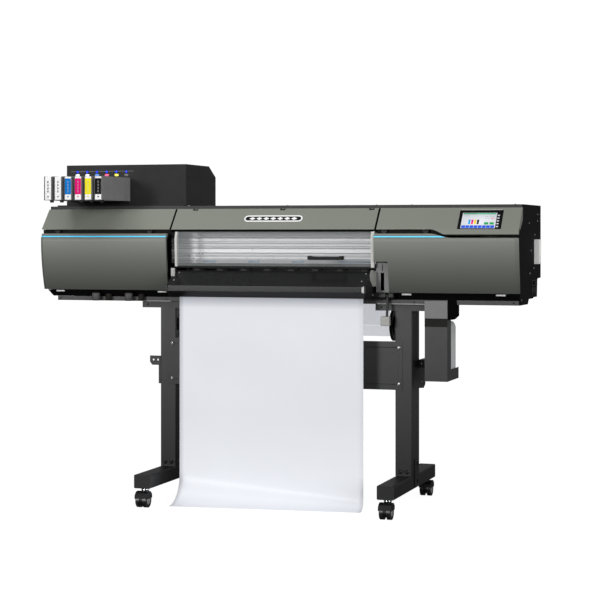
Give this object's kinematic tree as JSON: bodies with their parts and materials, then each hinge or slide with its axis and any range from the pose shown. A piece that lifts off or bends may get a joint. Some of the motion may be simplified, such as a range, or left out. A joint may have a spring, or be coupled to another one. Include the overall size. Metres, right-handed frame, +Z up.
{
  "type": "printer cutter",
  "caption": "Wide-format roll printer cutter on a caster stand, with lifting cover and doors, pull-out ink trays, sliding carriages and a film roll.",
  "frame": {"origin": "on the floor, at the middle of the overall width and depth", "axes": "+X to the operator's right, +Y from the operator's side to the back, +Z up"},
  "size_m": [2.068, 0.752, 1.395],
  "materials": {
    "stand_paint": "satin powder coat, near black",
    "frame_black": "satin black paint",
    "cover_paint": "satin metallic grey with a green cast",
    "door_paint": "satin metallic grey with a green cast",
    "body_black": "fine-textured black",
    "black_plastic": "fine-textured black",
    "gloss_black": "glossy black",
    "grey_plastic": "light grey",
    "tray_grey": "mid grey",
    "caster_black": "black wheels",
    "aluminium": "extruded and clear anodised",
    "steel": "ground",
    "window": "clear sheet",
    "film": "translucent white film",
    "roller_rubber": "black",
    "bottle": "translucent natural",
    "screen": "black glass bezel"
  },
  "bodies": {
    "root": {"left_foot": "stand_paint", "right_foot": "stand_paint", "left_leg": "stand_paint", "right_leg": "stand_paint", "cross_panel": "stand_paint", "stand_fittings": "frame_black", "base_rail": "stand_paint", "under_tray": "frame_black", "left_side_panel": "body_black", "right_side_panel": "body_black", "rear_panel": "frame_black", "top_panel": "body_black", "left_upper_panel": "cover_paint", "right_upper_panel": "cover_paint", "inner_frames": "frame_black", "platen": "aluminium", "guide_rail": "aluminium", "belt_drive": "frame_black", "capping_station": "black_plastic", "apron_cover": "gloss_black", "lever_panel": "tray_grey", "touch_screen": "screen", "roll_supports": "frame_black", "film_sheet": "film", "ink_cabinet": "body_black", "bottle_holder": "stand_paint", "vent_block": "aluminium", "power_socket": "black_plastic"},
    "left_door": {"left_door": "door_paint"},
    "right_door": {"right_door": "door_paint"},
    "front_cover": {"front_cover": "cover_paint", "cover_window": "window", "cover_frame": "grey_plastic", "cover_handle": "black_plastic"},
    "loading_lever": {"loading_lever": "frame_black"},
    "pinch_arms": {"pinch_arms": "black_plastic"},
    "pinch_rollers": {"pinch_rollers": "roller_rubber"},
    "grit_roller": {"grit_roller": "steel"},
    "print_carriage": {"print_carriage": "black_plastic"},
    "cutting_carriage": {"cutting_carriage": "black_plastic"},
    "blade_holder": {"blade_holder": "steel"},
    "drive_pulley": {"drive_pulley": "steel"},
    "media_roll": {"media_roll": "film", "roll_spindle": "black_plastic"},
    "drain_bottle": {"drain_bottle": "bottle"},
    "power_switch": {"power_switch": "black_plastic"},
    "ink_tray_1": {"ink_tray_1": "tray_grey"},
    "ink_tray_2": {"ink_tray_2": "tray_grey"},
    "ink_tray_3": {"ink_tray_3": "tray_grey"},
    "ink_tray_4": {"ink_tray_4": "tray_grey"},
    "ink_tray_5": {"ink_tray_5": "tray_grey"},
    "ink_tray_6": {"ink_tray_6": "tray_grey"},
    "caster_fork_1": {"caster_fork_1": "black_plastic"},
    "caster_wheels_1": {"caster_wheels_1": "caster_black"},
    "caster_fork_2": {"caster_fork_2": "black_plastic"},
    "caster_wheels_2": {"caster_wheels_2": "caster_black"},
    "caster_fork_3": {"caster_fork_3": "black_plastic"},
    "caster_wheels_3": {"caster_wheels_3": "caster_black"},
    "caster_fork_4": {"caster_fork_4": "black_plastic"},
    "caster_wheels_4": {"caster_wheels_4": "caster_black"}
  },
  "joints": [
    {"name": "front_cover_hinge", "type": "hinge", "parent": "root", "child": "front_cover", "pos_m": [0, -0.034, 1.2], "axis": [-1, 0, 0], "range_deg": [0, 70]},
    {"name": "left_door_hinge", "type": "hinge", "parent": "root", "child": "left_door", "pos_m": [-0.75, -0.108, 1.11], "axis": [-1, 0, 0], "range_deg": [0, 78]},
    {"name": "right_door_hinge", "type": "hinge", "parent": "root", "child": "right_door", "pos_m": [0.555, -0.108, 1.11], "axis": [-1, 0, 0], "range_deg": [0, 78]},
    {"name": "lever_hinge", "type": "hinge", "parent": "root", "child": "loading_lever", "pos_m": [0.484, -0.108, 0.852], "axis": [-1, 0, 0], "range_deg": [0, 60]},
    {"name": "pinch_lift", "type": "hinge", "parent": "root", "child": "pinch_arms", "pos_m": [0, 0.034, 0.958], "axis": [-1, 0, 0], "range_deg": [0, 9.5]},
    {"name": "grit_spin", "type": "hinge", "parent": "root", "child": "grit_roller", "pos_m": [0, -0.02, 0.9268], "axis": [1, 0, 0], "continuous": true},
    {"name": "pinch_spin", "type": "hinge", "parent": "pinch_arms", "child": "pinch_rollers", "pos_m": [0, -0.02, 0.9482], "axis": [1, 0, 0], "continuous": true},
    {"name": "print_carriage_slide", "type": "slide", "parent": "root", "child": "print_carriage", "axis": [1, 0, 0], "range_m": [-1.07, 0]},
    {"name": "drive_pulley_spin", "type": "hinge", "parent": "root", "child": "drive_pulley", "pos_m": [0.965, 0.024, 1.119], "axis": [0, 0, 1], "range_deg": [-4700, 10]},
    {"name": "cutting_carriage_slide", "type": "slide", "parent": "root", "child": "cutting_carriage", "axis": [1, 0, 0], "range_m": [0, 1.09]},
    {"name": "blade_press", "type": "slide", "parent": "cutting_carriage", "child": "blade_holder", "axis": [0, 0, -1], "range_m": [0, 0.004], "stiffness_N_per_m": 500, "springref_m": -0.002},
    {"name": "media_roll_spin", "type": "hinge", "parent": "root", "child": "media_roll", "pos_m": [0, 0.2905, 0.718], "axis": [1, 0, 0], "continuous": true},
    {"name": "ink_tray_slide_1", "type": "slide", "parent": "root", "child": "ink_tray_1", "axis": [0, -1, 0], "range_m": [0, 0.12]},
    {"name": "ink_tray_slide_2", "type": "slide", "parent": "root", "child": "ink_tray_2", "axis": [0, -1, 0], "range_m": [0, 0.12]},
    {"name": "ink_tray_slide_3", "type": "slide", "parent": "root", "child": "ink_tray_3", "axis": [0, -1, 0], "range_m": [0, 0.12]},
    {"name": "ink_tray_slide_4", "type": "slide", "parent": "root", "child": "ink_tray_4", "axis": [0, -1, 0], "range_m": [0, 0.12]},
    {"name": "ink_tray_slide_5", "type": "slide", "parent": "root", "child": "ink_tray_5", "axis": [0, -1, 0], "range_m": [0, 0.12]},
    {"name": "ink_tray_slide_6", "type": "slide", "parent": "root", "child": "ink_tray_6", "axis": [0, -1, 0], "range_m": [0, 0.12]},
    {"name": "drain_bottle_slide", "type": "slide", "parent": "root", "child": "drain_bottle", "axis": [0, 1, 0], "range_m": [0, 0.16]},
    {"name": "power_rocker", "type": "hinge", "parent": "root", "child": "power_switch", "pos_m": [1.008, 0.205, 0.872], "axis": [0, -1, 0], "range_deg": [0, 12]},
    {"name": "caster_swivel_1", "type": "hinge", "parent": "root", "child": "caster_fork_1", "pos_m": [-0.4695, -0.325, 0.07], "axis": [0, 0, 1], "continuous": true},
    {"name": "caster_roll_1", "type": "hinge", "parent": "caster_fork_1", "child": "caster_wheels_1", "pos_m": [-0.4695, -0.346, 0.03], "axis": [1, 0, 0], "continuous": true},
    {"name": "caster_swivel_2", "type": "hinge", "parent": "root", "child": "caster_fork_2", "pos_m": [-0.4695, 0.291, 0.07], "axis": [0, 0, 1], "continuous": true},
    {"name": "caster_roll_2", "type": "hinge", "parent": "caster_fork_2", "child": "caster_wheels_2", "pos_m": [-0.4695, 0.312, 0.03], "axis": [1, 0, 0], "continuous": true},
    {"name": "caster_swivel_3", "type": "hinge", "parent": "root", "child": "caster_fork_3", "pos_m": [0.5415, -0.325, 0.07], "axis": [0, 0, 1], "continuous": true},
    {"name": "caster_roll_3", "type": "hinge", "parent": "caster_fork_3", "child": "caster_wheels_3", "pos_m": [0.5415, -0.346, 0.03], "axis": [1, 0, 0], "continuous": true},
    {"name": "caster_swivel_4", "type": "hinge", "parent": "root", "child": "caster_fork_4", "pos_m": [0.5415, 0.291, 0.07], "axis": [0, 0, 1], "continuous": true},
    {"name": "caster_roll_4", "type": "hinge", "parent": "caster_fork_4", "child": "caster_wheels_4", "pos_m": [0.5415, 0.312, 0.03], "axis": [1, 0, 0], "continuous": true}
  ],
  "couplings": [
    {"joint": "pinch_lift", "follows": "lever_hinge", "ratio": 0.15},
    {"joint": "pinch_spin", "follows": "grit_spin", "ratio": -1.5},
    {"joint": "drive_pulley_spin", "follows": "print_carriage_slide", "rad_per_m": 75.76}
  ]
}
